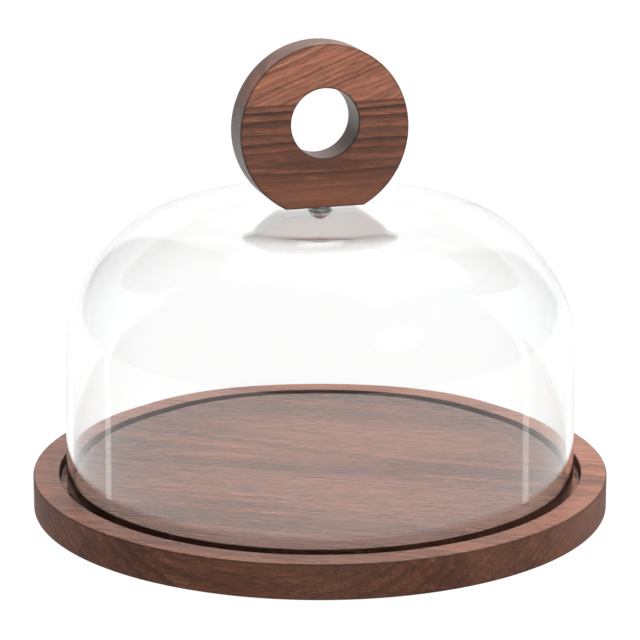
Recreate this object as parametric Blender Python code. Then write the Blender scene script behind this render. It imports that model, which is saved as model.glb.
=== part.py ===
"""Cheese dome: a grooved walnut board, a glass bell and a walnut ring handle.

Metres, +Z up. The origin is the centre of the board's underside. The ring handle
stands square to the frame: its broad faces look along -Y and +Y.
"""

import math

import bmesh
import bpy

MM = 0.001

# Board: a turned disc with a ring groove that keeps the glass in place.
BOARD_RADIUS = 150.0 * MM
BOARD_THICKNESS = 18.2 * MM
BOARD_EDGE_ROUND = 0.7 * MM
GROOVE_OUTER_RADIUS = 136.5 * MM
GROOVE_INNER_RADIUS = 128.2 * MM
GROOVE_DEPTH = 6.0 * MM
GROOVE_CORNER = 0.9 * MM
GROOVE_LIP = 0.3 * MM

# Glass bell: flat on top, then a bend whose radius grows and tightens again.
GLASS_WALL = 3.5 * MM
GLASS_TOP_Z = 157.0 * MM
GLASS_FLAT_RADIUS = 64.7 * MM
GLASS_BEND = (  # slope from level in degrees, radius of the bend there
    (0, 68 * MM),
    (6, 47 * MM),
    (20, 63 * MM),
    (40, 71 * MM),
    (60, 95 * MM),
    (75, 58 * MM),
    (90, 50 * MM),
)
GLASS_DRAFT_DEGREES = 0.7
GLASS_HOLE_RADIUS = 4.0 * MM

# Ring handle: two glued blocks, a finger hole above centre, a flat foot.
RING_RADIUS = 44.5 * MM
RING_THICKNESS = 19.0 * MM
RING_EDGE_ROUND = 0.5 * MM
FINGER_HOLE_RADIUS = 17.9 * MM
FINGER_HOLE_RISE = 4.0 * MM
GLUE_LINE_RISE = 14.7 * MM
FOOT_DROP = 39.5 * MM
FOOT_Z = 158.9 * MM

# Fixings through the hole in the glass.
FOOT_RING_RADIUS = 5.3 * MM
TOP_GASKET_HEIGHT = 0.4 * MM
FOOT_RING_HEIGHT = 1.2 * MM
GROMMET_RADIUS = 6.2 * MM
GROMMET_FLANGE = 1.0 * MM
SLEEVE_RADIUS = 3.7 * MM
WASHER_RADIUS = 5.7 * MM
WASHER_HEIGHT = 1.2 * MM
SCREW_HEAD_RADIUS = 4.6 * MM
SCREW_HEAD_HEIGHT = 2.8 * MM
SCREW_SOCKET_FLATS = 3.0 * MM
SCREW_SOCKET_DEPTH = 1.7 * MM
SCREW_RADIUS = 2.4 * MM
SCREW_REACH = 10.0 * MM
CLEARANCE_BORE = 2.8 * MM
INSERT_RADIUS = 3.7 * MM
INSERT_RIB = 0.3 * MM
INSERT_LENGTH = 12.0 * MM
INSERT_BORE_RADIUS = 4.3 * MM
INSERT_BORE_DEPTH = 13.0 * MM

# Gaps: between big pieces, and between the thin ones of the fixing stack.
GAP = 0.3 * MM
FINE_GAP = 0.1 * MM

# How finely the round pieces are divided.
BOARD_STEPS = 80
GLASS_STEPS = 64
GLASS_BEND_STEPS = 15
SMALL_STEPS = 24
RING_STEP_DEGREES = 5

WALNUT_BOARD = (0.155, 0.085, 0.058)
WALNUT_UPPER = (0.235, 0.105, 0.060)
WALNUT_LOWER = (0.165, 0.070, 0.042)
STEEL = (0.62, 0.62, 0.64)
BRASS = (0.72, 0.52, 0.25)
SILICONE = (0.85, 0.86, 0.86)
CLEAR = (0.97, 0.98, 0.98)


def clear_scene():
    for obj in list(bpy.data.objects):
        bpy.data.objects.remove(obj, do_unlink=True)


def material(name, colour, roughness, metallic=0.0, transmission=0.0):
    mat = bpy.data.materials.new(name)
    mat.use_nodes = True
    shader = mat.node_tree.nodes["Principled BSDF"]
    shader.inputs["Base Color"].default_value = (*colour, 1.0)
    shader.inputs["Roughness"].default_value = roughness
    shader.inputs["Metallic"].default_value = metallic
    shader.inputs["Transmission Weight"].default_value = transmission
    return mat


def empty(name, location, parent=None):
    """A frame for the pieces that move together, placed on their joint's axis."""
    frame = bpy.data.objects.new(name, None)
    bpy.context.scene.collection.objects.link(frame)
    frame.location = location
    frame.parent = parent
    return frame


def finish(mesh_name, bm, mat, parent, location, sharp_degrees=35):
    """Turns a bmesh into a named, smooth-shaded object under its parent frame."""
    bmesh.ops.recalc_face_normals(bm, faces=bm.faces)
    mesh = bpy.data.meshes.new(mesh_name)
    bm.to_mesh(mesh)
    bm.free()
    mesh.materials.append(mat)
    mesh.shade_smooth()
    mesh.set_sharp_from_angle(angle=math.radians(sharp_degrees))
    obj = bpy.data.objects.new(mesh_name, mesh)
    bpy.context.scene.collection.objects.link(obj)
    obj.location = location
    obj.parent = parent
    return obj


def turned(name, profile, steps, mat, parent=None, location=(0, 0, 0)):
    """A solid of revolution about Z from a closed loop of (radius, height) points."""
    bm = bmesh.new()
    ring = [bm.verts.new((radius, 0, height)) for radius, height in profile]
    edges = [bm.edges.new((ring[i - 1], ring[i])) for i in range(len(ring))]
    on_axis = [edge for edge in edges if all(vert.co.x == 0 for vert in edge.verts)]
    bmesh.ops.delete(bm, geom=on_axis, context="EDGES")
    bmesh.ops.spin(
        bm,
        geom=bm.verts[:] + bm.edges[:],
        axis=(0, 0, 1),
        cent=(0, 0, 0),
        angle=math.tau,
        steps=steps,
    )
    bmesh.ops.remove_doubles(bm, verts=bm.verts, dist=0.001 * MM)
    return finish(name, bm, mat, parent, location)


def extruded(name, outline, depth, bevel, mat, parent, location):
    """A plate standing in the XZ plane, centred on Y, with its face edges eased."""
    bm = bmesh.new()
    face = bm.faces.new([bm.verts.new((x, -depth / 2, z)) for x, z in outline])
    grown = bmesh.ops.extrude_face_region(bm, geom=[face])
    moved = [item for item in grown["geom"] if isinstance(item, bmesh.types.BMVert)]
    bmesh.ops.translate(bm, verts=moved, vec=(0, depth, 0))
    rims = [edge for edge in bm.edges if abs(edge.verts[0].co.y - edge.verts[1].co.y) < bevel]
    bmesh.ops.bevel(bm, geom=rims, offset=bevel, segments=1, affect="EDGES", profile=0.5)
    return finish(name, bm, mat, parent, location, sharp_degrees=25)


def cut(obj, cutter):
    """Removes the cutter's shape from the object; the cutter itself is not a piece."""
    cutter.hide_render = True
    cutter.display_type = "WIRE"
    boolean = obj.modifiers.new("cut", "BOOLEAN")
    boolean.operation = "DIFFERENCE"
    boolean.solver = "EXACT"
    boolean.object = cutter


def arc(centre, radius, start_degrees, end_degrees, step_degrees):
    """Points on an arc in the XZ plane, both ends included; angles run from +X to +Z."""
    steps = max(1, math.ceil(abs(end_degrees - start_degrees) / step_degrees))
    points = []
    for i in range(steps + 1):
        angle = math.radians(start_degrees + (end_degrees - start_degrees) * i / steps)
        points.append((centre[0] + radius * math.cos(angle), centre[1] + radius * math.sin(angle)))
    return points


def tube_profile(inner, outer, bottom, top, chamfer):
    """A ring's cross-section with its outer edges broken."""
    return [
        (inner, bottom),
        (outer - chamfer, bottom),
        (outer, bottom + chamfer),
        (outer, top - chamfer),
        (outer - chamfer, top),
        (inner, top),
    ]


def between(value, table):
    """The value that a table of (key, value) rows gives, on straight lines between rows."""
    for (low, first), (high, second) in zip(table, table[1:]):
        if value <= high:
            return first + (second - first) * (value - low) / (high - low)
    return table[-1][1]


def build_board():
    radius, top, edge = BOARD_RADIUS, BOARD_THICKNESS, BOARD_EDGE_ROUND
    floor = top - GROOVE_DEPTH
    profile = [
        (0, 0),
        (radius - edge, 0),
        (radius, edge),
        (radius, top - edge),
        (radius - edge, top),
        (GROOVE_OUTER_RADIUS + GROOVE_LIP, top),
        (GROOVE_OUTER_RADIUS, top - GROOVE_LIP),
        (GROOVE_OUTER_RADIUS, floor + GROOVE_CORNER),
        (GROOVE_OUTER_RADIUS - GROOVE_CORNER, floor),
        (GROOVE_INNER_RADIUS + GROOVE_CORNER, floor),
        (GROOVE_INNER_RADIUS, floor + GROOVE_CORNER),
        (GROOVE_INNER_RADIUS, top - GROOVE_LIP),
        (GROOVE_INNER_RADIUS - GROOVE_LIP, top),
        (0, top),
    ]
    walnut = material("walnut_board", WALNUT_BOARD, 0.5)
    turned("serving_board", profile, BOARD_STEPS, walnut)


def glass_outside():
    """The bell's outer line from the hole down to the rim: (radius, height, slope)."""
    radius, height = GLASS_FLAT_RADIUS, GLASS_TOP_Z
    points = [(GLASS_HOLE_RADIUS, height, 0.0), (radius, height, 0.0)]
    end = 90.0 - GLASS_DRAFT_DEGREES
    step = end / GLASS_BEND_STEPS
    for i in range(GLASS_BEND_STEPS):
        middle = step * (i + 0.5)
        length = between(middle, GLASS_BEND) * math.radians(step)
        radius += length * math.cos(math.radians(middle))
        height -= length * math.sin(math.radians(middle))
        points.append((radius, height, step * (i + 1)))
    rim = BOARD_THICKNESS - GROOVE_DEPTH + GAP
    radius += (height - rim) * math.tan(math.radians(GLASS_DRAFT_DEGREES))
    points.append((radius, rim, end))
    return points


def build_glass(lid):
    outside = glass_outside()
    inside = []
    for radius, height, slope in outside:
        angle = math.radians(slope)
        inside.append((radius - GLASS_WALL * math.sin(angle), height - GLASS_WALL * math.cos(angle)))
    rim_radius, rim = outside[-1][0] - GLASS_WALL / 2, outside[-1][1]
    fire_polished = arc((rim_radius, rim + GLASS_WALL / 2), GLASS_WALL / 2, 0, -180, 45)
    line = [(radius, height) for radius, height, _ in outside[:-1]]
    profile = line + fire_polished + inside[-2::-1]
    base = lid.location.z
    profile = [(radius, height - base) for radius, height in profile]
    clear = material("clear_glass", CLEAR, 0.02, transmission=1.0)
    turned("glass_dome", profile, GLASS_STEPS, clear, lid)


def build_glass_fixings(lid):
    """The pieces that are clamped to the glass and stay still when the handle turns."""
    base = lid.location.z
    silicone = material("clear_silicone", SILICONE, 0.35, transmission=0.6)
    steel = material("washer_steel", STEEL, 0.25, metallic=1.0)
    above = GLASS_TOP_Z + FINE_GAP - base
    gasket = tube_profile(CLEARANCE_BORE, FOOT_RING_RADIUS, above, above + TOP_GASKET_HEIGHT, 0.1 * MM)
    turned("top_gasket", gasket, SMALL_STEPS, silicone, lid)

    flange_top = GLASS_TOP_Z - GLASS_WALL - FINE_GAP - base
    flange_bottom = flange_top - GROMMET_FLANGE
    sleeve_top = GLASS_TOP_Z - FINE_GAP - base
    grommet = [
        (CLEARANCE_BORE, flange_bottom),
        (GROMMET_RADIUS, flange_bottom),
        (GROMMET_RADIUS, flange_top),
        (SLEEVE_RADIUS, flange_top),
        (SLEEVE_RADIUS, sleeve_top),
        (CLEARANCE_BORE, sleeve_top),
    ]
    turned("hole_grommet", grommet, SMALL_STEPS, silicone, lid)

    washer_top = flange_bottom - FINE_GAP
    washer = tube_profile(CLEARANCE_BORE, WASHER_RADIUS, washer_top - WASHER_HEIGHT, washer_top, 0.2 * MM)
    turned("steel_washer", washer, SMALL_STEPS, steel, lid)
    return washer_top - WASHER_HEIGHT + base


def hexagon_prism(name, flats, bottom, top, parent):
    """A six-sided cutter for the screw's socket."""
    bm = bmesh.new()
    bmesh.ops.create_cone(
        bm,
        cap_ends=True,
        segments=6,
        radius1=flats / math.sqrt(3),
        radius2=flats / math.sqrt(3),
        depth=top - bottom,
    )
    bmesh.ops.translate(bm, verts=bm.verts, vec=(0, 0, (top + bottom) / 2))
    return finish(name, bm, material(name, STEEL, 0.5), parent, (0, 0, 0))


def build_screw(handle, washer_bottom):
    """A button-head machine screw that comes up through the glass into the insert."""
    base = handle.location.z + handle.parent.location.z
    under_head = washer_bottom - FINE_GAP - base
    lowest = under_head - SCREW_HEAD_HEIGHT
    head_edge = 0.5 * MM
    dome_depth = SCREW_HEAD_HEIGHT - head_edge
    dome_radius = (SCREW_HEAD_RADIUS**2 + dome_depth**2) / (2 * dome_depth)
    half_angle = math.degrees(math.asin(SCREW_HEAD_RADIUS / dome_radius))
    dome = arc((0, lowest + dome_radius), dome_radius, -90, -90 + half_angle, half_angle / 5)
    tip = FOOT_Z - base + SCREW_REACH
    profile = [(0, lowest)] + dome[1:] + [
        (SCREW_HEAD_RADIUS, under_head),
        (SCREW_RADIUS, under_head),
        (SCREW_RADIUS, tip - 0.6 * MM),
        (SCREW_RADIUS - 0.6 * MM, tip),
        (0, tip),
    ]
    steel = material("screw_steel", STEEL, 0.25, metallic=1.0)
    screw = turned("handle_screw", profile, SMALL_STEPS, steel, handle)
    cut(screw, hexagon_prism(
        "socket_cutter", SCREW_SOCKET_FLATS, lowest - 1 * MM, lowest + SCREW_SOCKET_DEPTH, handle
    ))


def build_foot_ring(handle):
    """The polished ring between the gasket and the handle's flat foot."""
    base = handle.location.z + handle.parent.location.z
    top = FOOT_Z - FINE_GAP - base
    ring = tube_profile(CLEARANCE_BORE, FOOT_RING_RADIUS, top - FOOT_RING_HEIGHT, top, 0.35 * MM)
    steel = material("foot_ring_steel", STEEL, 0.15, metallic=1.0)
    turned("foot_ring", ring, SMALL_STEPS, steel, handle)


def build_insert(handle):
    """The brass threaded insert in the lower block: a ribbed sleeve for the screw."""
    base = handle.location.z + handle.parent.location.z
    bottom = FOOT_Z + GAP - base
    ribs = 6
    pitch = INSERT_LENGTH / ribs
    profile = [(CLEARANCE_BORE, bottom)]
    for i in range(ribs):
        low = bottom + i * pitch
        profile += [
            (INSERT_RADIUS, low),
            (INSERT_RADIUS + INSERT_RIB, low + 0.35 * pitch),
            (INSERT_RADIUS + INSERT_RIB, low + 0.65 * pitch),
        ]
    profile += [(INSERT_RADIUS, bottom + INSERT_LENGTH), (CLEARANCE_BORE, bottom + INSERT_LENGTH)]
    brass = material("insert_brass", BRASS, 0.35, metallic=1.0)
    turned("threaded_insert", profile, SMALL_STEPS, brass, handle)


def angle_at_height(height, centre_height, radius):
    """Where a level line meets a circle on its +X side, in degrees above +X."""
    return math.degrees(math.asin((height - centre_height) / radius))


def build_handle_blocks(handle):
    """The ring, split level at its glue line; heights are from the ring's centre."""
    base = handle.location.z + handle.parent.location.z
    centre = (0, 0, FOOT_Z + FOOT_DROP - base)
    hole = (0, FINGER_HOLE_RISE)
    step = RING_STEP_DEGREES

    low_glue = GLUE_LINE_RISE - GAP / 2
    foot = angle_at_height(-FOOT_DROP, 0, RING_RADIUS)
    outer = angle_at_height(low_glue, 0, RING_RADIUS)
    inner = angle_at_height(low_glue, FINGER_HOLE_RISE, FINGER_HOLE_RADIUS)
    lower = arc((0, 0), RING_RADIUS, outer, foot, step)
    lower += arc((0, 0), RING_RADIUS, -180 - foot, -180 - outer, step)
    lower += arc(hole, FINGER_HOLE_RADIUS, -180 - inner, inner, step)
    dark = material("walnut_lower", WALNUT_LOWER, 0.5)
    block = extruded(
        "handle_lower_block", lower, RING_THICKNESS, RING_EDGE_ROUND, dark, handle, centre
    )

    high_glue = GLUE_LINE_RISE + GAP / 2
    outer = angle_at_height(high_glue, 0, RING_RADIUS)
    inner = angle_at_height(high_glue, FINGER_HOLE_RISE, FINGER_HOLE_RADIUS)
    upper = arc((0, 0), RING_RADIUS, outer, 180 - outer, step)
    upper += arc(hole, FINGER_HOLE_RADIUS, 180 - inner, inner, step)
    light = material("walnut_upper", WALNUT_UPPER, 0.5)
    extruded("handle_upper_block", upper, RING_THICKNESS, RING_EDGE_ROUND, light, handle, centre)

    foot_height = FOOT_Z - base
    bore_profile = [
        (0, foot_height - 1 * MM),
        (INSERT_BORE_RADIUS, foot_height - 1 * MM),
        (INSERT_BORE_RADIUS, foot_height + INSERT_BORE_DEPTH),
        (0, foot_height + INSERT_BORE_DEPTH),
    ]
    cut(block, turned("bore_cutter", bore_profile, SMALL_STEPS, dark, handle))


def main():
    clear_scene()
    build_board()
    rim = BOARD_THICKNESS - GROOVE_DEPTH + GAP
    lid = empty("dome_lift_frame", (0, 0, rim))
    build_glass(lid)
    washer_bottom = build_glass_fixings(lid)
    handle = empty("handle_turn_frame", (0, 0, GLASS_TOP_Z - rim), lid)
    build_screw(handle, washer_bottom)
    build_foot_ring(handle)
    build_insert(handle)
    build_handle_blocks(handle)


main()
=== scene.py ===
"""The looks of the cheese dome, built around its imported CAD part.

Metres, +Z up, in the part's own frame: the origin is the centre of the board's
underside, and the ring handle's broad faces look along -Y and +Y.
"""

import math

import bmesh
import bpy
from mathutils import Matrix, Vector


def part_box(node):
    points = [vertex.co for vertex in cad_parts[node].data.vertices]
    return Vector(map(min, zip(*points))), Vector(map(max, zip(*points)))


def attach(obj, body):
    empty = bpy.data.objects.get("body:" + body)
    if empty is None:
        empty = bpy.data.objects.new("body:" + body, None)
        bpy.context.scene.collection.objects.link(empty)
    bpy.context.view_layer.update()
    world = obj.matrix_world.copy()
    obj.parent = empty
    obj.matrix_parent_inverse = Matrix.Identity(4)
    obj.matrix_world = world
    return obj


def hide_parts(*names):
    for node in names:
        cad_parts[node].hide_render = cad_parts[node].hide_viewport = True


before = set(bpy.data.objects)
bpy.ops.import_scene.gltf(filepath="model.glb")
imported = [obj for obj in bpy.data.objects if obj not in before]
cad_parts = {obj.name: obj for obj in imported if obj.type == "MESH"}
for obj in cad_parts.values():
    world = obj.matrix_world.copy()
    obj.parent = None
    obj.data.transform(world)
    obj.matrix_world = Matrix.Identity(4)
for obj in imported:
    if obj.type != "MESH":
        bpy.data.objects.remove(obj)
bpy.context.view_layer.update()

MM = 0.001
CORNER_STEPS = 5
SAME_PLACE = 1e-7

# The main view: distance and height of the camera, its turn about Z and its lens.
CAMERA_DISTANCE = 1.358
CAMERA_HEIGHT = 0.4676
CAMERA_TURN_DEGREES = -17.0
CAMERA_PITCH_DEGREES = 15.26
CAMERA_LENS = 152.8
CAMERA_SENSOR = 36.0
SIGHT_REACH = 60.0


# ---------------------------------------------------------------- meshes


def arc(centre, radius, start_degrees, end_degrees, steps):
    """Points on an arc in the (radius, height) plane, both ends included."""
    points = []
    for i in range(steps + 1):
        angle = math.radians(start_degrees + (end_degrees - start_degrees) * i / steps)
        points.append((centre[0] + radius * math.cos(angle), centre[1] + radius * math.sin(angle)))
    return points


def along_side(first, last, share):
    """The point at a share of the way from the first to the last, in two dimensions."""
    return (first[0] + (last[0] - first[0]) * share, first[1] + (last[1] - first[1]) * share)


def rounded(corners):
    """A closed loop through (x, y, rounding) corners, each corner eased by an arc."""
    loop = []
    count = len(corners)
    for i in range(count):
        here = Vector(corners[i][:2])
        size = corners[i][2]
        before = (Vector(corners[i - 1][:2]) - here).normalized()
        after = (Vector(corners[(i + 1) % count][:2]) - here).normalized()
        if size == 0:
            loop.append(tuple(here))
            continue
        half = before.angle(after) / 2
        centre = here + (before + after).normalized() * size / math.sin(half)
        first = here + before * size / math.tan(half) - centre
        last = here + after * size / math.tan(half) - centre
        for k in range(CORNER_STEPS + 1):
            way = first.lerp(last, k / CORNER_STEPS)
            loop.append(tuple(centre + way.normalized() * size))
    return loop


def object_from(bm, name, sharp_degrees=40):
    """Turns a bmesh into a smooth-shaded object, its faces turned outwards."""
    bmesh.ops.recalc_face_normals(bm, faces=bm.faces)
    mesh = bpy.data.meshes.new(name)
    bm.to_mesh(mesh)
    bm.free()
    mesh.shade_smooth()
    mesh.set_sharp_from_angle(angle=math.radians(sharp_degrees))
    obj = bpy.data.objects.new(name, mesh)
    bpy.context.scene.collection.objects.link(obj)
    return obj


def turned(name, loop, steps, sharp_degrees=40, arrises=False):
    """A solid of revolution about Z from a closed loop of (radius, height) points."""
    bm = bmesh.new()
    ring = [bm.verts.new((radius, 0, height)) for radius, height in loop]
    edges = [bm.edges.new((ring[i - 1], ring[i])) for i in range(len(ring))]
    on_axis = [edge for edge in edges if all(vert.co.x < SAME_PLACE for vert in edge.verts)]
    bmesh.ops.delete(bm, geom=on_axis, context="EDGES")
    bmesh.ops.spin(
        bm,
        geom=bm.verts[:] + bm.edges[:],
        axis=(0, 0, 1),
        cent=(0, 0, 0),
        angle=math.tau,
        steps=steps,
    )
    bmesh.ops.remove_doubles(bm, verts=bm.verts, dist=SAME_PLACE)
    if arrises:
        mark_arrises(bm)
    return object_from(bm, name, sharp_degrees)


def place(piece, body, node, material):
    """Gives the piece its material and its body, and hides the CAD node that it stands for."""
    piece.data.materials.clear()
    piece.data.materials.append(material)
    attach(piece, body)
    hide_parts(node)


# ---------------------------------------------------------------- materials


class Tree:
    """A short way to write a material's nodes: each call returns the node's output."""

    def __init__(self, name, roughness, metallic=0.0, ior=1.5):
        self.material = bpy.data.materials.new(name)
        self.material.use_nodes = True
        self.nodes = self.material.node_tree.nodes
        self.links = self.material.node_tree.links
        self.shader = self.nodes["Principled BSDF"]
        self.set("Roughness", roughness)
        self.set("Metallic", metallic)
        self.set("IOR", ior)

    def set(self, socket, value):
        """Links an output to the shader's socket, or sets the socket to a constant."""
        self.feed(self.shader.inputs[socket], value)

    def feed(self, socket, value):
        if isinstance(value, bpy.types.NodeSocket):
            self.links.new(value, socket)
        elif value is not None:
            socket.default_value = value

    def add(self, kind, output=0, **settings):
        """A new node; settings named in_N feed input N, and the others are its own."""
        node = self.nodes.new(kind)
        for key, value in settings.items():
            if not key.startswith("in_"):
                setattr(node, key, value)
        for key, value in settings.items():
            if key.startswith("in_"):
                slot = key[3:]
                slot = int(slot) if slot.isdigit() else slot.replace("_", " ")
                self.feed(node.inputs[slot], value)
        return node.outputs[output]

    def math(self, operation, first, second=None):
        return self.add("ShaderNodeMath", operation=operation, in_0=first, in_1=second)

    def hypotenuse(self, first, second):
        squares = (self.math("MULTIPLY", side, side) for side in (first, second))
        return self.math("SQRT", self.math("ADD", *squares))

    def parts(self, vector):
        """The X, Y and Z outputs of a vector."""
        return self.add("ShaderNodeSeparateXYZ", in_0=vector).node.outputs

    def grain_space(self, origin, turn_degrees, tilt_degrees):
        """Object space seen from the timber: X runs along its fibres."""
        position = self.add("ShaderNodeTexCoord", "Object")
        angles = [math.radians(angle) for angle in (0.0, tilt_degrees, turn_degrees)]
        return self.add(
            "ShaderNodeMapping", vector_type="TEXTURE",
            in_Vector=position, in_Location=origin, in_Rotation=angles,
        )

    def noise(self, space, scale, detail=2.0, rough=0.5, distortion=0.0):
        """Noise from 0 to 1; scale is one number per axis, in cells per metre."""
        stretched = self.add("ShaderNodeVectorMath", operation="MULTIPLY", in_0=space, in_1=scale)
        return self.add(
            "ShaderNodeTexNoise", in_Vector=stretched,
            in_Scale=1.0, in_Detail=detail, in_Roughness=rough, in_Distortion=distortion,
        )

    def between(self, value, low, high, to_low=0.0, to_high=1.0, smooth=True):
        """Carries low..high over to to_low..to_high and holds the ends, eased if smooth."""
        return self.add(
            "ShaderNodeMapRange", interpolation_type="SMOOTHSTEP" if smooth else "LINEAR",
            in_0=value, in_1=low, in_2=high, in_3=to_low, in_4=to_high,
        )

    def mix(self, factor, first, second, blend="MIX"):
        node = self.nodes.new("ShaderNodeMix")
        node.data_type = "RGBA"
        node.blend_type = blend
        self.feed(node.inputs[0], factor)
        self.feed(node.inputs[6], first)
        self.feed(node.inputs[7], second)
        return node.outputs[2]

    def scaled(self, tone, factor):
        """The colour with all three channels multiplied by one value."""
        grey = self.add("ShaderNodeCombineXYZ", in_0=factor, in_1=factor, in_2=factor)
        return self.mix(1.0, tone, grey, "MULTIPLY")

    def bump(self, height, strength, distance):
        node = self.nodes.new("ShaderNodeBump")
        self.feed(node.inputs["Strength"], strength)
        self.feed(node.inputs["Distance"], distance)
        self.feed(node.inputs["Height"], height)
        return node.outputs["Normal"]


def colour(red, green, blue):
    return (red, green, blue, 1.0)


# How far each pattern in walnut stretches: cells per metre along the fibres, then across.
DRIFT_CELLS = (2.2, 16.0, 16.0)
WAVE_CELLS = (11.0, 42.0, 42.0)
BAND_CELLS = (3.0, 62.0, 62.0)
PATCH_CELLS = (5.0, 13.0, 13.0)
STREAK_CELLS = (12.0, 300.0, 300.0)
FIBRE_CELLS = (85.0, 1300.0, 1300.0)
PORE_CELLS = (170.0, 1900.0, 1900.0)
RING_DRIFT = 10.0 * MM
RING_WAVE = 1.8 * MM
UNEVEN_YEARS = 2.4
PORE_COLOUR = colour(0.030, 0.013, 0.008)
# Colour of the painted shade laid on sharp edges and small rounds.
EDGE_SHADE_COLOUR = colour(0.022, 0.010, 0.007)


def growth_rings(t, across, up, space, ring_width):
    """How far through its year each point is, and how dark its latewood is, 0 to 1.

    The year darkens slowly and ends at once; years differ in width and in darkness.
    """
    drift = t.noise(space, DRIFT_CELLS, 2.0, 0.5)
    wave = t.noise(space, WAVE_CELLS, 2.0, 0.5)
    distance = t.hypotenuse(across, up)
    distance = t.math("ADD", distance, t.between(drift, 0.0, 1.0, -RING_DRIFT, RING_DRIFT, False))
    distance = t.math("ADD", distance, t.between(wave, 0.0, 1.0, -RING_WAVE, RING_WAVE, False))
    uneven = t.add(
        "ShaderNodeTexNoise", noise_dimensions="1D",
        in_W=t.math("MULTIPLY", distance, 0.21 / ring_width), in_Scale=1.0, in_Detail=1.0,
    )
    years = t.math("DIVIDE", distance, ring_width)
    years = t.math("ADD", years, t.math("MULTIPLY", uneven, UNEVEN_YEARS))
    phase = t.math("FRACT", years)
    year = t.add("ShaderNodeTexWhiteNoise", noise_dimensions="1D", in_W=t.math("FLOOR", years))
    late = t.math("MULTIPLY", t.between(phase, 0.15, 0.86), t.between(phase, 0.90, 1.0, 1.0, 0.0))
    late = t.math("MULTIPLY", late, t.between(year, 0.0, 1.0, 0.35, 1.0, False))
    return phase, late


def walnut(
    name, origin, turn, tilt, pith, ring_width,
    base, dark, light, cloud, contrast,
    face_axis=1, side_shade_tone=0.36, gloss=0.38, roughness=0.30, edge_roughness=0.0, paler=None,
):
    """Oiled walnut cut from a solid: growth rings about a pith line, fibres and pores.

    The rings are cylinders about a line parallel to the fibres; pith is that line's
    place across the timber. Colours are linear: base timber, dark latewood, light
    streaks and the greyer cloud that drifts through walnut. The piece's broad faces
    look along face_axis; faces turned away from that axis are painted darker, as
    painted shade. Paler is the stretch of height over which the timber lightens.
    """
    t = Tree(name, roughness)
    space = t.grain_space(origin, turn, tilt)
    _, across, up = t.parts(space)
    phase, late = growth_rings(
        t, t.math("ADD", across, -pith[0]), t.math("ADD", up, -pith[1]), space, ring_width,
    )
    band = t.noise(space, BAND_CELLS, 3.0, 0.55, 0.3)
    streak = t.noise(space, STREAK_CELLS, 5.0, 0.66)
    fibre = t.noise(space, FIBRE_CELLS, 3.0, 0.65)
    patch = t.noise(space, PATCH_CELLS, 2.0, 0.5)

    # Pores: short dark dashes, thickest in the early wood.
    pores = t.between(t.noise(space, PORE_CELLS, 1.0, 0.5), 0.60, 0.72)
    pores = t.math("MULTIPLY", pores, t.between(phase, 0.0, 0.7, 1.0, 0.45))

    # Each layer: where it lies, how strong it is, and its colour.
    tone = base
    for where, strength, layer in (
        (t.between(band, 0.62, 0.36), 0.55, dark),
        (t.between(streak, 0.52, 0.74), 0.60, light),
        (late, 0.85 * contrast, dark),
        (t.between(streak, 0.45, 0.28), 0.50, dark),
        (t.between(patch, 0.42, 0.70), 0.45, cloud),
    ):
        tone = t.mix(t.math("MULTIPLY", where, strength), tone, layer)
    tone = t.scaled(tone, t.between(fibre, 0.28, 0.72, 0.58, 1.46, False))
    tone = t.mix(t.math("MULTIPLY", pores, 0.70), tone, PORE_COLOUR)
    if paler:
        tone = t.mix(t.math("MULTIPLY", t.between(up, *paler), 0.45), tone, light)

    # Painted shade: faces turned away from the broad faces are darkened, as if they got less light.
    facing = t.parts(t.add("ShaderNodeTexCoord", "Normal"))[face_axis]
    side_shade_factor = t.between(t.math("ABSOLUTE", facing), 0.25, 0.95, side_shade_tone, 1.0)
    tone = t.scaled(tone, side_shade_factor)
    # Painted shade: sharp edges and small rounds are darkened, more where the surface turns more
    # sharply.
    edge_shade_mask = t.add("ShaderNodeAttribute", "Fac", attribute_name="arris")
    t.set("Base Color", t.mix(t.math("MULTIPLY", edge_shade_mask, 0.65), tone, EDGE_SHADE_COLOUR))
    t.set("Specular IOR Level", gloss)

    rough = t.between(streak, 0.2, 0.8, roughness, roughness + 0.12, False)
    rough = t.math("ADD", rough, t.math("MULTIPLY", pores, 0.22))
    on_edge = t.between(side_shade_factor, 1.0, side_shade_tone, 0.0, edge_roughness, False)
    t.set("Roughness", t.math("ADD", rough, on_edge))
    relief = t.math("SUBTRACT", t.math("MULTIPLY", fibre, 0.35), t.math("MULTIPLY", pores, 1.0))
    relief = t.math("SUBTRACT", relief, t.math("MULTIPLY", late, 0.25))
    t.set("Normal", t.bump(relief, 0.35, 0.12 * MM))
    return t.material


def glass_material():
    """Clear glass with a faint haze where it was wiped and the slow waves of a blown wall."""
    t = Tree("clear_glass", roughness=0.0)
    t.set("Base Color", colour(0.985, 0.992, 0.990))
    t.set("Transmission Weight", 1.0)
    position = t.add("ShaderNodeTexCoord", "Object")
    wipe = t.noise(position, (30.0, 30.0, 9.0), 3.0, 0.6, 0.8)
    t.set("Roughness", t.between(wipe, 0.55, 0.85, 0.0, 0.006))
    wave = t.noise(position, (14.0, 14.0, 10.0), 1.0, 0.4)
    t.set("Normal", t.bump(wave, 0.5, 0.25 * MM))
    return t.material


def steel_material(name, roughness, brushed):
    """Turned steel: fine rings about the axis, with smears of handling."""
    t = Tree(name, roughness=roughness, metallic=1.0)
    position = t.add("ShaderNodeTexCoord", "Object")
    x, y, z = t.parts(position)
    around = t.add("ShaderNodeCombineXYZ", in_0=t.hypotenuse(x, y), in_1=z)
    rings = t.add(
        "ShaderNodeTexNoise", in_Vector=around,
        in_Scale=9000.0, in_Detail=2.0, in_Roughness=0.6,
    )
    smear = t.noise(position, (260.0, 260.0, 260.0), 3.0, 0.6)
    t.set("Base Color", t.mix(smear, colour(0.74, 0.74, 0.75), colour(0.84, 0.84, 0.85)))
    t.set("Roughness", t.between(smear, 0.3, 0.7, roughness, roughness + 0.10, False))
    t.set("Normal", t.bump(rings, brushed, 0.02 * MM))
    return t.material


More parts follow.
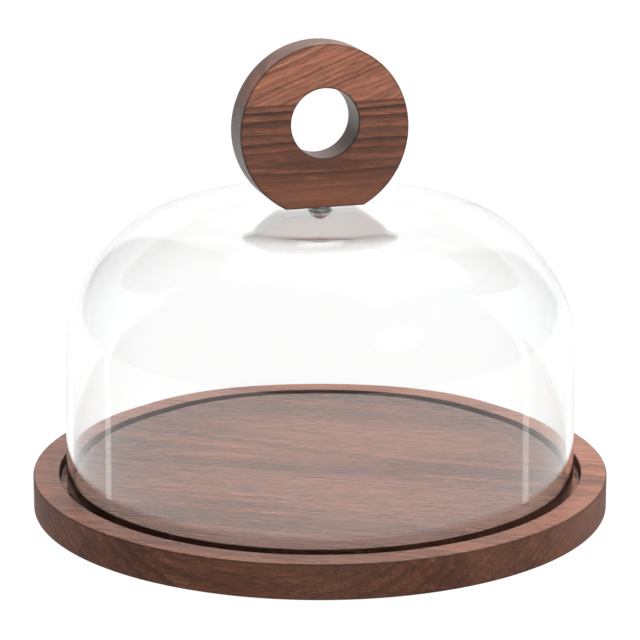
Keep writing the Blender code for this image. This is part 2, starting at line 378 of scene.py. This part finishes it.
def silicone_material():
    """Milky translucent silicone with dust in its surface."""
    t = Tree("clear_silicone", roughness=0.4, ior=1.41)
    position = t.add("ShaderNodeTexCoord", "Object")
    dust = t.noise(position, (900.0, 900.0, 900.0), 3.0, 0.6)
    cloudy = t.noise(position, (160.0, 160.0, 160.0), 2.0, 0.5)
    t.set("Base Color", t.mix(cloudy, colour(0.78, 0.79, 0.79), colour(0.90, 0.91, 0.91)))
    t.set("Transmission Weight", 0.55)
    t.set("Roughness", t.between(dust, 0.4, 0.7, 0.30, 0.48, False))
    t.set("Normal", t.bump(dust, 0.2, 0.03 * MM))
    return t.material


def brass_material():
    """Brass with smears of tarnish."""
    t = Tree("insert_brass", roughness=0.35, metallic=1.0)
    position = t.add("ShaderNodeTexCoord", "Object")
    smear = t.noise(position, (300.0, 300.0, 300.0), 3.0, 0.6)
    t.set("Base Color", t.mix(smear, colour(0.50, 0.33, 0.13), colour(0.78, 0.57, 0.27)))
    t.set("Roughness", t.between(smear, 0.3, 0.7, 0.28, 0.45, False))
    t.set("Normal", t.bump(smear, 0.3, 0.04 * MM))
    return t.material


# ---------------------------------------------------------------- pieces

BOARD_EDGE = 0.8 * MM
GROOVE_OUTER = 136.5 * MM
GROOVE_INNER = 128.2 * MM
GROOVE_DEPTH = 6.0 * MM
GROOVE_ROUND = 1.4 * MM
GROOVE_LIP = 0.4 * MM
SUPPORT = 0.35 * MM
ARRIS_LEAST = 5.0  # degrees of turn between two faces where the painted edge shade begins, and is full
ARRIS_FULL = 16.0
BOARD_STEPS = 240

GLASS_WALL = 3.5 * MM
GLASS_FLAT_RADIUS = 60.0 * MM
GLASS_HOLE_RADIUS = 4.0 * MM
# Length along the bell's outer line from its flat, and how sharply it bends there, per metre.
GLASS_BEND = (
    (0 * MM, 0.0),
    (10 * MM, 18.9),
    (26 * MM, 15.9),
    (47 * MM, 14.8),
    (73 * MM, 8.7),
    (98 * MM, 19.9),
    (117 * MM, 0.6),
    (137 * MM, 0.0),
)
GLASS_STEPS = 192
GLASS_BEND_STEPS = 90
GLASS_LOOP_GAP = 2.0 * MM
GLASS_RIM_STEPS = 16
GLASS_SHARP_DEGREES = 60

RING_RADIUS = 44.5 * MM
RING_EDGE = 0.7 * MM
RING_STEP_DEGREES = 1.5
RING_FOOT_STEPS = 12
FINGER_HOLE_RADIUS = 17.9 * MM
FINGER_HOLE_RISE = 4.0 * MM
SEAM = 0.04 * MM

CLEARANCE_BORE = 2.8 * MM
GASKET_EDGE = 0.12 * MM
WASHER_EDGE = 0.25 * MM
COLLAR_EDGE = 0.45 * MM
SLEEVE_RADIUS = 3.7 * MM
GROMMET_FLANGE = 1.0 * MM
SCREW_HEAD_HEIGHT = 2.8 * MM
WASHER_GAP = 0.1 * MM
SCREW_HEAD_EDGE = 0.5 * MM
SCREW_DOME_STEPS = 14
SCREW_RADIUS = 2.4 * MM
SCREW_POINT = 0.6 * MM
SOCKET_FLATS = 3.0 * MM
SOCKET_DEPTH = 1.7 * MM
INSERT_BORE_RADIUS = 4.3 * MM
INSERT_CLEARANCE = 0.7 * MM
SMALL_STEPS = 96


def supported(loop):
    """The same loop with a point close to each end of its long sides, to hold the shading."""
    points = []
    for first, last in zip(loop, loop[1:] + loop[:1]):
        length = math.dist(first, last)
        points.append(first)
        if length > 4 * SUPPORT:
            for share in (SUPPORT / length, 1 - SUPPORT / length):
                points.append(along_side(first, last, share))
    return points


def mark_arrises(bm):
    """Stores on each point how sharply the surface turns there, for the painted shade on edges."""
    layer = bm.verts.layers.float.new("arris")
    for vert in bm.verts:
        turn = max(edge.calc_face_angle(0.0) for edge in vert.link_edges)
        share = (math.degrees(turn) - ARRIS_LEAST) / (ARRIS_FULL - ARRIS_LEAST)
        vert[layer] = min(1.0, max(0.0, share))


def build_board(material):
    low, high = (Vector(corner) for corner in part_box("serving_board"))
    radius, bottom, top = high.x, low.z, high.z
    floor = top - GROOVE_DEPTH
    corners = [
        (0, bottom, 0),
        (radius, bottom, BOARD_EDGE),
        (radius, top, BOARD_EDGE),
        (GROOVE_OUTER, top, GROOVE_LIP),
        (GROOVE_OUTER, floor, GROOVE_ROUND),
        (GROOVE_INNER, floor, GROOVE_ROUND),
        (GROOVE_INNER, top, GROOVE_LIP),
        (0, top, 0),
    ]
    board = turned("board_disc", supported(rounded(corners)), BOARD_STEPS, arrises=True)
    place(board, "board", "serving_board", material)


def read_off(value, table):
    """The value that a table of (key, value) rows gives, on straight lines between rows."""
    for (low, first), (high, second) in zip(table, table[1:]):
        if value <= high:
            return first + (second - first) * (value - low) / (high - low)
    return table[-1][1]


def glass_outside(top, rim):
    """The bell's outer line from the hole down to the rim: (radius, height, slope).

    The bend eases in and out, so that nothing seen through it or in it has a break.
    """
    flat_width = GLASS_FLAT_RADIUS - GLASS_HOLE_RADIUS
    flat_steps = round(flat_width / GLASS_LOOP_GAP)
    points = []
    for i in range(flat_steps + 1):
        points.append((GLASS_HOLE_RADIUS + flat_width * i / flat_steps, top, 0.0))
    radius, height, slope = points[-1]
    step = GLASS_BEND[-1][0] / GLASS_BEND_STEPS
    for i in range(GLASS_BEND_STEPS):
        turn = read_off(step * (i + 0.5), GLASS_BEND) * step
        radius += step * math.cos(slope + turn / 2)
        height -= step * math.sin(slope + turn / 2)
        slope += turn
        points.append((radius, height, slope))
    wall_bottom = rim + GLASS_WALL / 2
    wall_steps = math.ceil((height - wall_bottom) / GLASS_LOOP_GAP)
    drop = (height - wall_bottom) / wall_steps
    for i in range(wall_steps):
        outwards = drop * (i + 1) / math.tan(slope)
        points.append((radius + outwards, height - drop * (i + 1), slope))
    return points


def build_glass(material):
    low, high = (Vector(corner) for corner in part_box("glass_dome"))
    outside = glass_outside(high.z, low.z)
    inside = []
    for radius, height, slope in outside:
        inwards, down = GLASS_WALL * math.sin(slope), GLASS_WALL * math.cos(slope)
        inside.append((radius - inwards, height - down))
    last = outside[-1]
    rim = arc((last[0] - GLASS_WALL / 2, last[1]), GLASS_WALL / 2, 0, -180, GLASS_RIM_STEPS)
    line = [(radius, height) for radius, height, _ in outside]
    loop = line + rim[1:-1] + inside[::-1]
    glass = turned("glass_bell", loop, GLASS_STEPS, GLASS_SHARP_DEGREES)
    place(glass, "lid", "glass_dome", material)


def ring_outlines():
    """The ring's outer and hole outlines in the XZ plane, and its front and back in Y."""
    low = Vector(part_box("handle_lower_block")[0])
    high = Vector(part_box("handle_upper_block")[1])
    centre = (0.0, high.z - RING_RADIUS)
    foot = math.degrees(math.asin((low.z - centre[1]) / RING_RADIUS))
    steps = round((180 - 2 * foot) / RING_STEP_DEGREES)
    outer = arc(centre, RING_RADIUS, foot, 180 - foot, steps)
    for i in range(1, RING_FOOT_STEPS):
        outer.append((outer[steps][0] * (1 - 2 * i / RING_FOOT_STEPS), low.z))
    hole_centre = (0.0, centre[1] + FINGER_HOLE_RISE)
    hole = arc(hole_centre, FINGER_HOLE_RADIUS, 360, 0, round(360 / RING_STEP_DEGREES))[:-1]
    return outer, hole, low.y, high.y


def inset(outline, distance):
    """The closed outline moved by the distance towards its left-hand side."""
    moved = []
    count = len(outline)
    for i in range(count):
        here = Vector(outline[i])
        into = (here - Vector(outline[i - 1])).normalized()
        out = (Vector(outline[(i + 1) % count]) - here).normalized()
        along = (into + out).normalized()
        left = Vector((-along.y, along.x))
        moved.append(tuple(here + left * distance / max(0.5, along.dot(into))))
    return moved


def ring_mesh():
    """The whole ring with rounded edges, before it is cut into its two blocks."""
    outer, hole, front, back = ring_outlines()
    corner = arc((RING_EDGE, RING_EDGE), RING_EDGE, 270, 180, CORNER_STEPS)
    section = [(RING_EDGE + SUPPORT, 0.0)] + corner + [(0.0, RING_EDGE + SUPPORT)]
    rows_at = [(inwards, front + depth) for inwards, depth in section]
    rows_at += [(inwards, back - depth) for inwards, depth in reversed(section)]
    bm = bmesh.new()
    face_edges = {front: [], back: []}
    for outline in (outer, hole):
        rows = []
        for inwards, y in rows_at:
            rows.append([bm.verts.new((x, y, z)) for x, z in inset(outline, inwards)])
        for first, second in zip(rows, rows[1:]):
            for i in range(len(first)):
                bm.faces.new((first[i - 1], first[i], second[i], second[i - 1]))
        for y, row in ((front, rows[0]), (back, rows[-1])):
            face_edges[y] += [bm.edges.get((row[i - 1], row[i])) for i in range(len(row))]
    for edges in face_edges.values():
        bmesh.ops.triangle_fill(bm, use_beauty=True, edges=edges)
    bmesh.ops.recalc_face_normals(bm, faces=bm.faces)
    mark_arrises(bm)
    return bm


def ring_block(name, keep_above, glue_height):
    """One of the handle's two blocks: the ring cut level at the glue line."""
    bm = ring_mesh()
    half_seam = SEAM / 2 if keep_above else -SEAM / 2
    cut = bmesh.ops.bisect_plane(
        bm,
        geom=bm.verts[:] + bm.edges[:] + bm.faces[:],
        plane_co=(0, 0, glue_height + half_seam),
        plane_no=(0, 0, 1),
        clear_inner=keep_above,
        clear_outer=not keep_above,
    )
    edges = [item for item in cut["geom_cut"] if isinstance(item, bmesh.types.BMEdge)]
    bmesh.ops.edgeloop_fill(bm, edges=edges)
    return object_from(bm, name)


def subtract(piece, cutter):
    """Removes the cutter's shape from the piece, then the cutter itself."""
    boolean = piece.modifiers.new("cut", "BOOLEAN")
    boolean.operation = "DIFFERENCE"
    boolean.solver = "EXACT"
    boolean.object = cutter
    graph = bpy.context.evaluated_depsgraph_get()
    mesh = bpy.data.meshes.new_from_object(piece.evaluated_get(graph))
    piece.modifiers.clear()
    piece.data = mesh
    bpy.data.objects.remove(cutter, do_unlink=True)


def bore_cutter(radius, bottom, top):
    """The shape of the closed bore that holds the threaded insert."""
    loop = [(0, bottom), (radius, bottom), (radius, top), (0, top)]
    return turned("bore_cutter", loop, SMALL_STEPS)


def build_handle(dark, light):
    glue_height = (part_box("handle_lower_block")[1][2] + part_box("handle_upper_block")[0][2]) / 2
    lower = ring_block("handle_lower", False, glue_height)
    insert_low, insert_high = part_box("threaded_insert")
    below, above = insert_low[2] - INSERT_CLEARANCE, insert_high[2] + INSERT_CLEARANCE
    subtract(lower, bore_cutter(INSERT_BORE_RADIUS, below, above))
    place(lower, "handle", "handle_lower_block", dark)
    upper = ring_block("handle_upper", True, glue_height)
    place(upper, "handle", "handle_upper_block", light)


def flat_ring(name, node, corner):
    """A flat ring about the screw between its CAD heights, its corners eased."""
    low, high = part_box(node)
    inner = CLEARANCE_BORE
    corners = [
        (inner, low[2], corner / 2),
        (high[0], low[2], corner),
        (high[0], high[2], corner),
        (inner, high[2], corner / 2),
    ]
    return turned(name, rounded(corners), SMALL_STEPS)


def build_fixings(silicone, steel, polished, brass):
    gasket = flat_ring("gasket_sheet", "top_gasket", GASKET_EDGE)
    place(gasket, "lid", "top_gasket", silicone)

    low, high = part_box("hole_grommet")
    flange_top = low[2] + GROMMET_FLANGE
    corners = [
        (CLEARANCE_BORE, low[2], 0.15 * MM),
        (high[0], low[2], 0.4 * MM),
        (high[0], flange_top, 0.2 * MM),
        (SLEEVE_RADIUS, flange_top, 0.1 * MM),
        (SLEEVE_RADIUS, high[2], 0.2 * MM),
        (CLEARANCE_BORE, high[2], 0.2 * MM),
    ]
    grommet = turned("grommet_sleeve", rounded(corners), SMALL_STEPS)
    place(grommet, "lid", "hole_grommet", silicone)

    washer = flat_ring("washer_disc", "steel_washer", WASHER_EDGE)
    place(washer, "lid", "steel_washer", steel)

    collar = flat_ring("foot_collar", "foot_ring", COLLAR_EDGE)
    place(collar, "handle", "foot_ring", polished)

    build_screw(polished)

    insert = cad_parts["threaded_insert"]
    insert.data.materials.clear()
    insert.data.materials.append(brass)


def build_screw(steel):
    """A button-head screw, its head under the glass and its hexagon socket facing down."""
    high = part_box("handle_screw")[1]
    head_radius = high[0]
    under_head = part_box("steel_washer")[0][2] - WASHER_GAP
    lowest = under_head - SCREW_HEAD_HEIGHT
    edge = SCREW_HEAD_EDGE
    depth = SCREW_HEAD_HEIGHT - edge
    dome_radius = (head_radius**2 + depth**2) / (2 * depth)
    half_angle = math.degrees(math.asin(head_radius / dome_radius))
    dome = arc((0, lowest + dome_radius), dome_radius, -90, -90 + half_angle, SCREW_DOME_STEPS)
    loop = [(0, lowest)] + dome[1:]
    loop += arc((head_radius - edge / 2, under_head - edge / 2), edge / 2, 0, 90, CORNER_STEPS)
    loop += [(SCREW_RADIUS, under_head), (SCREW_RADIUS, high[2] - SCREW_POINT)]
    loop += [(SCREW_RADIUS - SCREW_POINT, high[2]), (0, high[2])]
    screw = turned("screw_button_head", loop, SMALL_STEPS)
    radius = SOCKET_FLATS / math.sqrt(3)
    socket = [(radius, lowest + SOCKET_DEPTH), (radius, lowest - edge), (0, lowest - edge)]
    cutter = turned("socket_cutter", [(0, lowest + SOCKET_DEPTH + radius / 3)] + socket, 6)
    subtract(screw, cutter)
    place(screw, "handle", "handle_screw", steel)


# ---------------------------------------------------------------- stage


FLOOR_REACH = 9.0
FLOOR_CELLS = 24
FLOOR_GLOW = 0.97
WATTS_PER_RADIANCE = 4  # for each square metre of an area light

# The studio's walls as the object sees them; azimuth 0 is the camera's side.
BACKDROP = 1.05
SIDE_WALLS = 0.55
CAMERA_SIDE = 0.34
CEILING_BACK = 0.72
CEILING_FRONT = 0.40
BACKDROP_AZIMUTH = 175.5
BACKDROP_HALF_WIDTH = 27.5
# Where one part of the studio fades into the next, as cosines of the angle from its middle.
CAMERA_SIDE_FADE = (0.2, 0.9)
BACKDROP_FADE = 0.02
CEILING_FADE = (0.60, 0.85)
CEILING_TONE_FADE = (-0.5, 0.6)
FLOOR_FADE = (0.0, -0.01)

# Each light's heading (azimuth, elevation), distance, size and radiance.
OVERHEAD = {"at": (150.0, 74.0), "distance": 1.6, "size": (1.8, 1.4), "radiance": 5.8}
SOFTBOX = {"at": (41.0, 39.5), "distance": 1.5, "size": (0.56, 0.34), "radiance": 8.0}
SOFTBOX_AIM_HEIGHT = 0.1
TUBES = (("left_tube", -73.2, 0.249), ("right_tube", 69.8, 0.226))  # name, azimuth, height
TUBE_DISTANCE = 0.19
TUBE_WIDTH = 0.011
TUBE_RADIANCE = 1.7


def heading(azimuth, elevation=0.0):
    """A unit vector at an azimuth from the camera's side, positive to the camera's right."""
    side = math.radians(azimuth + CAMERA_TURN_DEGREES)
    up = math.radians(elevation)
    return Vector((math.sin(side) * math.cos(up), -math.cos(side) * math.cos(up), math.sin(up)))


def build_floor():
    """A wide pale floor, flat all over, which glows so that it barely takes a shadow."""
    bm = bmesh.new()
    bmesh.ops.create_grid(bm, x_segments=FLOOR_CELLS, y_segments=FLOOR_CELLS, size=FLOOR_REACH)
    floor = object_from(bm, "studio_floor")
    t = Tree("studio_floor", roughness=0.7)
    position = t.add("ShaderNodeTexCoord", "Object")
    mottle = t.noise(position, (3.0, 3.0, 3.0), 3.0, 0.5)
    dark, light = (colour(tone, tone, tone) for tone in (0.055, 0.062))
    t.set("Base Color", t.mix(mottle, dark, light))
    t.set("Specular IOR Level", 0.0)
    t.set("Emission Color", colour(1.0, 1.0, 1.0))
    t.set("Emission Strength", FLOOR_GLOW)
    floor.data.materials.append(t.material)


def build_world():
    """A white backdrop, greyer side walls, a bright ceiling and a dim camera side."""
    world = bpy.data.worlds.new("studio")
    bpy.context.scene.world = world
    world.use_nodes = True
    nodes, links = world.node_tree.nodes, world.node_tree.links
    direction = nodes.new("ShaderNodeTexCoord").outputs["Generated"]
    flat = nodes.new("ShaderNodeVectorMath")
    flat.operation = "MULTIPLY"
    flat.inputs[1].default_value = (1, 1, 0)
    links.new(direction, flat.inputs[0])
    level = nodes.new("ShaderNodeVectorMath")
    level.operation = "NORMALIZE"
    links.new(flat.outputs["Vector"], level.inputs[0])

    def along(vector, azimuth, elevation=0.0):
        dot = nodes.new("ShaderNodeVectorMath")
        dot.operation = "DOT_PRODUCT"
        dot.inputs[1].default_value = heading(azimuth, elevation)
        links.new(vector, dot.inputs[0])
        return dot.outputs["Value"]

    def step(value, low, high, before, after):
        fade = nodes.new("ShaderNodeMapRange")
        fade.interpolation_type = "SMOOTHSTEP"
        links.new(value, fade.inputs["Value"])
        ends = {"From Min": low, "From Max": high, "To Min": before, "To Max": after}
        for name, number in ends.items():
            if isinstance(number, bpy.types.NodeSocket):
                links.new(number, fade.inputs[name])
            else:
                fade.inputs[name].default_value = number
        return fade.outputs["Result"]

    edge = math.cos(math.radians(BACKDROP_HALF_WIDTH))
    walls = step(along(level.outputs["Vector"], 0.0), *CAMERA_SIDE_FADE, SIDE_WALLS, CAMERA_SIDE)
    backdrop = along(level.outputs["Vector"], BACKDROP_AZIMUTH)
    walls = step(backdrop, edge - BACKDROP_FADE, edge + BACKDROP_FADE, walls, BACKDROP)
    up = along(direction, 0.0, 90.0)
    ceiling = step(along(direction, 180.0), *CEILING_TONE_FADE, CEILING_FRONT, CEILING_BACK)
    strength = step(up, *CEILING_FADE, walls, ceiling)
    strength = step(up, *FLOOR_FADE, strength, BACKDROP)
    # Looked at directly, the studio is white all round; its parts show in reflections.
    seen = nodes.new("ShaderNodeLightPath").outputs["Is Camera Ray"]
    strength = step(seen, 0.0, 1.0, strength, BACKDROP)
    links.new(strength, nodes["Background"].inputs["Strength"])
    nodes["Background"].inputs["Color"].default_value = (1.0, 1.0, 1.0, 1.0)


def area_light(name, location, outwards, size, radiance, shape="RECTANGLE"):
    """A flat light that shines back against outwards; the camera doesn't see it directly."""
    data = bpy.data.lights.new(name, "AREA")
    data.shape = shape
    data.size, data.size_y = size
    data.energy = radiance * WATTS_PER_RADIANCE * size[0] * size[1]
    light = bpy.data.objects.new(name, data)
    bpy.context.scene.collection.objects.link(light)
    light.location = location
    light.rotation_euler = outwards.to_track_quat("Z", "Y").to_euler()
    light.visible_camera = False
    return light


def build_lights():
    """An overhead softbox, a small one high on the right, and a thin tube at either side.

    The overhead light is kept out of reflections, as a polarised one would be.
    """
    out = heading(*OVERHEAD["at"])
    place_at = out * OVERHEAD["distance"]
    overhead = area_light("overhead_softbox", place_at, out, OVERHEAD["size"], OVERHEAD["radiance"])
    overhead.visible_glossy = False

    out = heading(*SOFTBOX["at"])
    place_at = Vector((0, 0, SOFTBOX_AIM_HEIGHT)) + out * SOFTBOX["distance"]
    area_light("front_softbox", place_at, out, SOFTBOX["size"], SOFTBOX["radiance"], "ELLIPSE")

    for name, azimuth, height in TUBES:
        out = heading(azimuth)
        place_at = out * TUBE_DISTANCE + Vector((0, 0, height / 2))
        tube = area_light(name, place_at, out, (TUBE_WIDTH, height), TUBE_RADIANCE)
        tube.visible_transmission = False


def build_camera():
    turn = math.radians(CAMERA_TURN_DEGREES)
    data = bpy.data.cameras.new("photo_camera")
    data.sensor_width = CAMERA_SENSOR
    data.lens = CAMERA_LENS
    data.clip_end = SIGHT_REACH
    camera = bpy.data.objects.new("photo_camera", data)
    bpy.context.scene.collection.objects.link(camera)
    camera.location = (
        CAMERA_DISTANCE * math.sin(turn),
        -CAMERA_DISTANCE * math.cos(turn),
        CAMERA_HEIGHT,
    )
    camera.rotation_euler = (math.radians(90 - CAMERA_PITCH_DEGREES), 0, turn)
    bpy.context.scene.camera = camera


def board_timber():
    return walnut(
        "walnut_board", origin=(0.0, 0.0, 0.0), turn=-32.0, tilt=1.2,
        pith=(0.012, -0.085), ring_width=4.2 * MM,
        base=colour(0.235, 0.078, 0.037),
        dark=colour(0.060, 0.019, 0.009),
        light=colour(0.480, 0.200, 0.125),
        cloud=colour(0.250, 0.105, 0.068),
        contrast=0.8, face_axis=2, side_shade_tone=0.56,
        gloss=0.24, roughness=0.22, edge_roughness=0.36,
    )


def lower_timber():
    return walnut(
        "walnut_lower_block", origin=(0.1, 0.2, 0.05), turn=-3.0, tilt=2.4,
        pith=(0.030, -0.055), ring_width=3.0 * MM,
        base=colour(0.245, 0.083, 0.044),
        dark=colour(0.040, 0.014, 0.008),
        light=colour(0.400, 0.150, 0.082),
        cloud=colour(0.230, 0.088, 0.053),
        contrast=1.15, paler=(0.132, 0.106),
    )


def upper_timber():
    return walnut(
        "walnut_upper_block", origin=(0.3, 0.1, 0.02), turn=-2.0, tilt=-20.0,
        pith=(0.020, -0.120), ring_width=3.4 * MM,
        base=colour(0.375, 0.138, 0.078),
        dark=colour(0.090, 0.032, 0.018),
        light=colour(0.570, 0.235, 0.140),
        cloud=colour(0.330, 0.140, 0.090),
        contrast=0.9,
    )


def main():
    build_camera()
    build_world()
    build_lights()
    build_floor()
    build_board(board_timber())
    build_glass(glass_material())
    build_handle(dark=lower_timber(), light=upper_timber())
    build_fixings(
        silicone=silicone_material(),
        steel=steel_material("washer_steel", 0.22, 0.25),
        polished=steel_material("polished_steel", 0.10, 0.10),
        brass=brass_material(),
    )
    bpy.context.scene.view_settings.view_transform = "Standard"


main()
